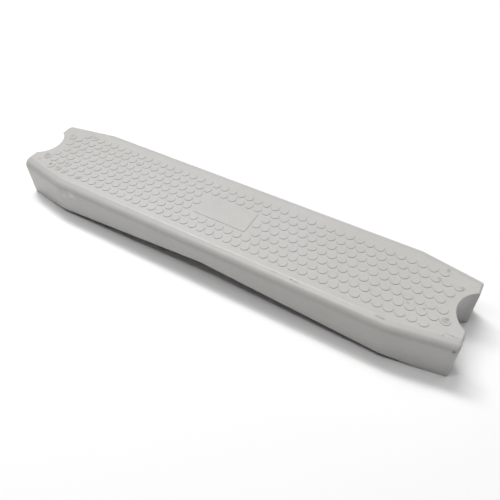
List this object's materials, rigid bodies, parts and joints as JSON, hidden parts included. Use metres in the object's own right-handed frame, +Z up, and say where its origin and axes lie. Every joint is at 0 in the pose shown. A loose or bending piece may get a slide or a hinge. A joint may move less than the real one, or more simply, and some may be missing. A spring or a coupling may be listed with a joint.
{
  "type": "pool ladder tread",
  "caption": "Moulded plastic pool ladder tread with a studded top, blank label pad, arched skirt and a half-round rail seat in each end.",
  "frame": {"origin": "on the ground under the middle of the tread, at the level of its four feet", "axes": "+X from the left rail seat to the right one, +Y to the back, +Z up through the studded top"},
  "size_m": [0.488, 0.1014, 0.0444],
  "materials": {
    "tread_plastic": "fine satin mould texture, warm light grey",
    "stainless": "plain turned stainless steel"
  },
  "bodies": {
    "root": {"tread_body": "tread_plastic", "nut_left": "stainless", "nut_right": "stainless", "washer_left": "stainless", "washer_right": "stainless"}
  },
  "joints": []
}
